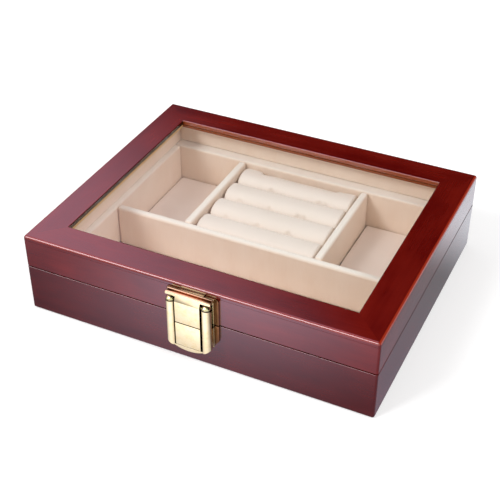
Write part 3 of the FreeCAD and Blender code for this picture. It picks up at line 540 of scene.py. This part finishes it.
ring_roll("ring_roll_1", [(-0.032, 1, 0.0012), (-0.007, 1, 0.0011), (0.017, 1, 0.0014)])
ring_roll("ring_roll_2", [(-0.032, -1, 0.0010), (-0.007, -1, 0.0012), (0.017, -1, 0.0016),
                          (-0.032, 1, 0.0012), (-0.008, 1, 0.0011), (0.016, 1, 0.0014)])
ring_roll("ring_roll_3", [(-0.032, -1, 0.0012), (-0.008, -1, 0.0012), (0.015, -1, 0.0014),
                          (0.0195, -1, 0.0014), (-0.017, 1, 0.0014), (0.022, 1, 0.0012)])
ring_roll("ring_roll_4", [(-0.017, -1, 0.0014), (0.022, -1, 0.0014), (0.0275, -1, 0.0010),
                          (-0.0285, 1, 0.0022), (0.0335, 1, 0.0022)], back_drawn_in=0.0026)


# Two small hinges join the case and the lid at the rear. They are plated brass, as are their
# pins and screws. Each leaf's edges are a little rounded by polishing.

worn_metal, given, made = new_group(
    "polished_plate",
    [("Vector", "NodeSocketVector", None), ("Plate", "NodeSocketColor", (0.9, 0.8, 0.5, 1)),
     ("Deep", "NodeSocketColor", (0.7, 0.5, 0.2, 1)), ("Polish", "NodeSocketFloat", 0.12)],
    [("Color", "NodeSocketColor"), ("Roughness", "NodeSocketFloat"),
     ("Height", "NodeSocketFloat")])
over = given.outputs["Vector"]
smudge = clouds(worn_metal, over, 180, 4.0, 0.6)
scratch = streaks(worn_metal, over, (300, 300, 3800), 2.0, 0.6)
worn_metal.links.new(blend_colours(worn_metal, spread(worn_metal, smudge, 0.45, 0.8),
                                   given.outputs["Plate"], given.outputs["Deep"]),
                     made.inputs["Color"])
haze = spread(worn_metal, smudge, 0.3, 0.8, -0.03, 0.07)
worn_metal.links.new(maths(worn_metal, "ADD", haze, given.outputs["Polish"]),
                     made.inputs["Roughness"])
worn_metal.links.new(scratch, made.inputs["Height"])


def plated(name, plate, deep, polish, tarnish_and_shade):
    """Plated metal. A dark colour fills its narrow slots and corners by ambient occlusion:
    partly tarnish, partly painted shade.
    """
    material, tree, shader = principled(name, Metallic=1.0)
    skin = in_group(tree, worn_metal, coordinates(tree), Plate=plate, Deep=deep, Polish=polish)
    # Painted shade, partly tarnish: the colour darkens where ambient occlusion finds slots and
    # corners.
    recess = new_node(tree, "ShaderNodeAmbientOcclusion", {"Distance": 0.003}, samples=8)
    open_share = spread(tree, recess.outputs["AO"], 0.3, 0.8)
    tree.links.new(blend_colours(tree, open_share, tarnish_and_shade, skin.outputs["Color"]),
                   shader.inputs["Base Color"])
    tree.links.new(skin.outputs["Roughness"], shader.inputs["Roughness"])
    raise_surface(tree, shader, skin.outputs["Height"], 0.03, 0.00005)
    return material


def polished(node, body, material, edge):
    """A copy of the node's shape with its sharp edges rounded by polishing."""
    piece = bpy.data.objects.new(f"polished_{node}", nodes[node].data.copy())
    bpy.context.scene.collection.objects.link(piece)
    in_edit_mode(piece)
    bpy.ops.mesh.select_all(action="SELECT")
    bpy.ops.mesh.remove_doubles(threshold=0.000002)
    bpy.ops.mesh.customdata_custom_splitnormals_clear()
    bpy.ops.mesh.dissolve_limited(angle_limit=math.radians(1))
    bpy.ops.object.mode_set(mode="OBJECT")
    rounding = piece.modifiers.new("rounding", "BEVEL")
    rounding.width = edge
    rounding.segments = 3
    rounding.limit_method = "ANGLE"
    rounding.angle_limit = math.radians(35)
    rounding.use_clamp_overlap = True
    even = piece.modifiers.new("even", "WEIGHTED_NORMAL")
    even.keep_sharp = True
    apply_modifiers(piece)
    bpy.ops.object.shade_smooth_by_angle(angle=math.radians(40))
    piece.data.materials.clear()
    piece.data.materials.append(material)
    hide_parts(node)
    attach(piece, body)


hinge_brass = plated("hinge_plate", (0.86, 0.70, 0.40, 1), (0.66, 0.48, 0.22, 1), 0.2,
                     (0.25, 0.15, 0.06, 1))
for side in ("left", "right"):
    polished(f"hinge_base_leaf_{side}", "base", hinge_brass, 0.00015)
    polished(f"hinge_lid_leaf_{side}", "lid", hinge_brass, 0.00015)
    polished(f"hinge_pin_{side}", "base", hinge_brass, 0.0002)
polished("hinge_base_screws", "base", hinge_brass, 0.0001)
polished("hinge_lid_screws", "lid", hinge_brass, 0.0001)


# The clasp is cast and stamped metal with a pale gold plate: a plate and a block on the case, a
# plate and a keeper on the lid, and a flap that hangs on a pin through the keeper. A painted dark
# ring at the necks of the flap's ribs is the painted shade of a groove that is not modelled, and
# painted shade fills the step behind the keeper's ledge.

pale_plate = ((0.80, 0.77, 0.43, 1), (0.74, 0.66, 0.30, 1), 0.13, (0.07, 0.03, 0.008, 1))
pale_gold = plated("pale_gold_plate", *pale_plate)
# The clasp's plates on the case and lid are coloured dark brown: painted shade and dark
# reflection behind the flap.
shaded_gold = plated("dull_gold_plate", (0.15, 0.075, 0.03, 1), (0.08, 0.04, 0.015, 1), 0.2,
                   (0.08, 0.04, 0.015, 1))

flap_gold = plated("flap_gold_plate", *pale_plate)
tree = flap_gold.node_tree
height = split(tree, coordinates(tree))["Z"]
# Painted shade: a dark ring round the ribs' necks, where no groove is modelled.
neck_height = 0.0527
from_neck = maths(tree, "ABSOLUTE", maths(tree, "SUBTRACT", height, neck_height))
overpaint(flap_gold, spread(tree, from_neck, 0.0003, 0.0007, 1.0, 0.0), (0.05, 0.04, 0.02, 1))

keeper_gold = plated("keeper_gold_plate", *pale_plate)
tree = keeper_gold.node_tree
spot = split(tree, coordinates(tree))
# Painted shade: the step face behind the keeper's ledge is coloured dark red-brown.
step_face, ledge_height = -0.1061, 0.058
painted_step_shade = maths(tree, "MULTIPLY", spread(tree, spot["Y"], step_face + 0.0002, step_face),
                spread(tree, spot["Z"], ledge_height + 0.00004, ledge_height + 0.0001))
overpaint(keeper_gold, painted_step_shade, (0.10, 0.02, 0.008, 1))

for node, body, edge, plate in (("clasp_base_plate", "base", 0.0002, shaded_gold),
                                ("clasp_catch", "base", 0.0002, pale_gold),
                                ("clasp_base_screws", "base", 0.0001, pale_gold),
                                ("clasp_lid_plate", "lid", 0.0002, shaded_gold),
                                ("clasp_keeper", "lid", 0.0003, keeper_gold),
                                ("clasp_lid_screws", "lid", 0.0001, pale_gold),
                                ("clasp_pin", "lid", 0.0002, pale_gold),
                                ("clasp_flap", "clasp_flap", 0.0003, flap_gold)):
    polished(node, body, plate, edge)


# The window is one pane of clear glass laid in the top frame, held from below by four thin
# beads of bare wood. The rear bead is coloured dark brown, the other three tan.

clear_glass, tree, shader = principled("clear_glass", Base_Color=(0.985, 0.99, 0.985, 1),
                                       Roughness=0.0, IOR=1.2, Transmission_Weight=1.0)
clear = new_node(tree, "ShaderNodeBsdfTransparent")
lets_light_in = new_node(tree, "ShaderNodeMixShader",
                         {0: seen_by(tree, "Is Shadow Ray", "Is Diffuse Ray"),
                          1: shader.outputs[0], 2: clear.outputs[0]})
surface = next(node for node in tree.nodes if node.type == "OUTPUT_MATERIAL")
tree.links.new(lets_light_in.outputs[0], surface.inputs["Surface"])
dress("glass_pane", clear_glass)

bare = ((0.68, 0.43, 0.20, 1), (0.80, 0.54, 0.29, 1))
brown = ((0.22, 0.05, 0.012, 1), (0.34, 0.09, 0.025, 1))
for side, quarter_turn, (dark, light) in (("front", 0, bare), ("rear", 0, brown),
                                          ("left", 1, bare), ("right", 1, bare)):
    dress(f"glass_bead_{side}", wood(f"bare_bead_{side}", quarter_turn, dark, light, 0.9, 0.2,
                                     0.2, Specular_IOR_Level=0.3))
